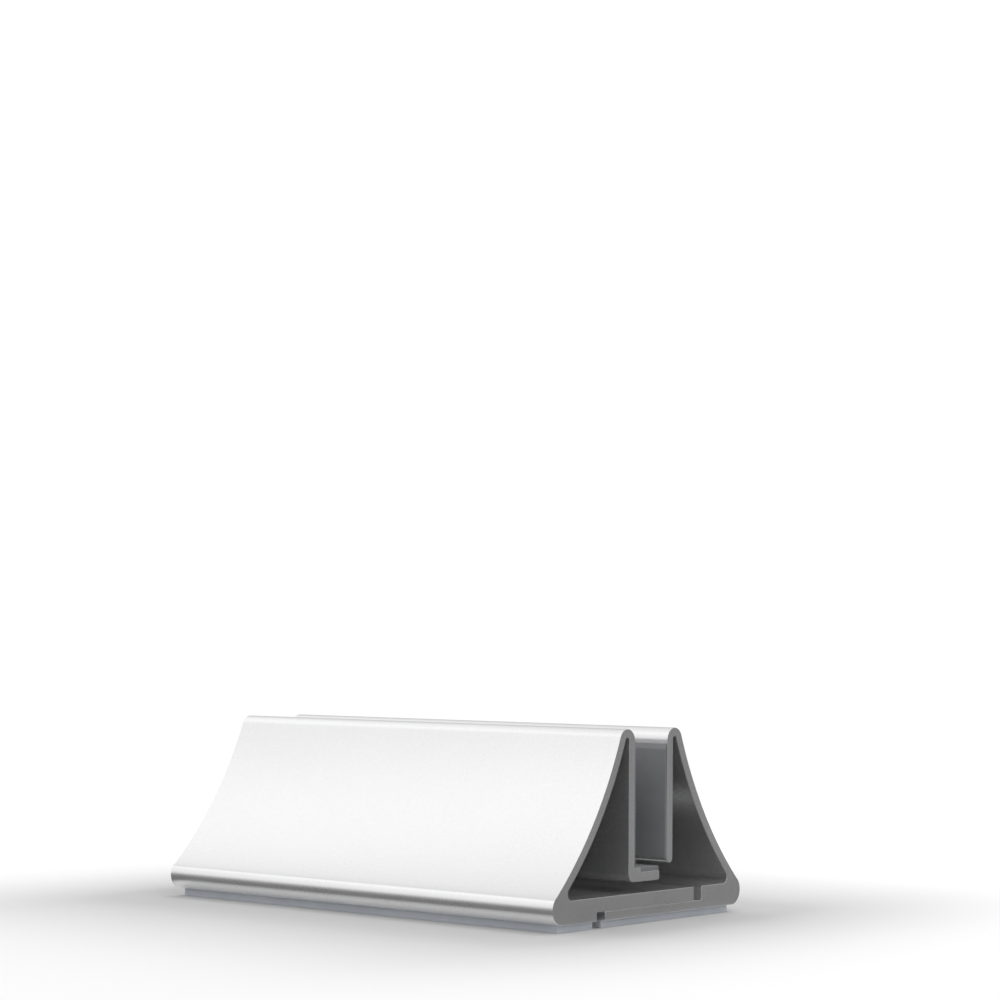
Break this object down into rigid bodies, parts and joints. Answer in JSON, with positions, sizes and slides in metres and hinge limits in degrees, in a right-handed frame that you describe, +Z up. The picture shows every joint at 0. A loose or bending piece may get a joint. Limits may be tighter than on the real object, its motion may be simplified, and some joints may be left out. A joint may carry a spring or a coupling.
{
  "type": "adjustable vertical laptop stand",
  "caption": "Adjustable vertical stand that holds a closed laptop on edge between padded aluminium half-brackets clamped together at their overlapping base tongues.",
  "frame": {"origin": "middle of the footprint at the pictured width, on the surface that the stand rests on, under the middle of the laptop slot", "axes": "+X along the extrusions and the laptop slot, +Y from the front half with the ledge to the rear half that slides, +Z up"},
  "size_m": [0.162, 0.0952, 0.0589],
  "materials": {
    "anodised_aluminium": "fine bead-blasted, clear silver anodised, satin",
    "liner_silicone": "matt grey silicone",
    "foot_silicone": "matt translucent bluish-grey silicone",
    "screw_steel": "zinc-plated, satin"
  },
  "bodies": {
    "front_half": {"front_bracket": "anodised_aluminium", "front_wall_pad": "liner_silicone", "ledge_pad": "liner_silicone", "front_foot_pad": "foot_silicone"},
    "rear_half": {"rear_bracket": "anodised_aluminium", "rear_wall_pad": "liner_silicone", "rear_foot_pad": "foot_silicone"},
    "washer_left": {"clamp_washer_left": "screw_steel"},
    "washer_right": {"clamp_washer_right": "screw_steel"},
    "screw_left": {"clamp_screw_left": "screw_steel"},
    "screw_right": {"clamp_screw_right": "screw_steel"}
  },
  "joints": [
    {"name": "width_slide", "type": "slide", "parent": "front_half", "child": "rear_half", "axis": [0, 1, 0], "range_m": [-0.0037, 0.012]},
    {"name": "screw_lift_left", "type": "slide", "parent": "front_half", "child": "washer_left", "axis": [0, 0, -1], "range_m": [0, 0.0007]},
    {"name": "screw_turn_left", "type": "hinge", "parent": "washer_left", "child": "screw_left", "pos_m": [-0.045, 0.0025, 0.003], "axis": [0, 0, -1], "range_deg": [0, 360]},
    {"name": "screw_lift_right", "type": "slide", "parent": "front_half", "child": "washer_right", "axis": [0, 0, -1], "range_m": [0, 0.0007]},
    {"name": "screw_turn_right", "type": "hinge", "parent": "washer_right", "child": "screw_right", "pos_m": [0.045, 0.0025, 0.003], "axis": [0, 0, -1], "range_deg": [0, 360]}
  ],
  "couplings": [
    {"joint": "screw_turn_left", "follows": "screw_lift_left", "rad_per_m": 8976},
    {"joint": "screw_turn_right", "follows": "screw_lift_right", "rad_per_m": 8976}
  ]
}
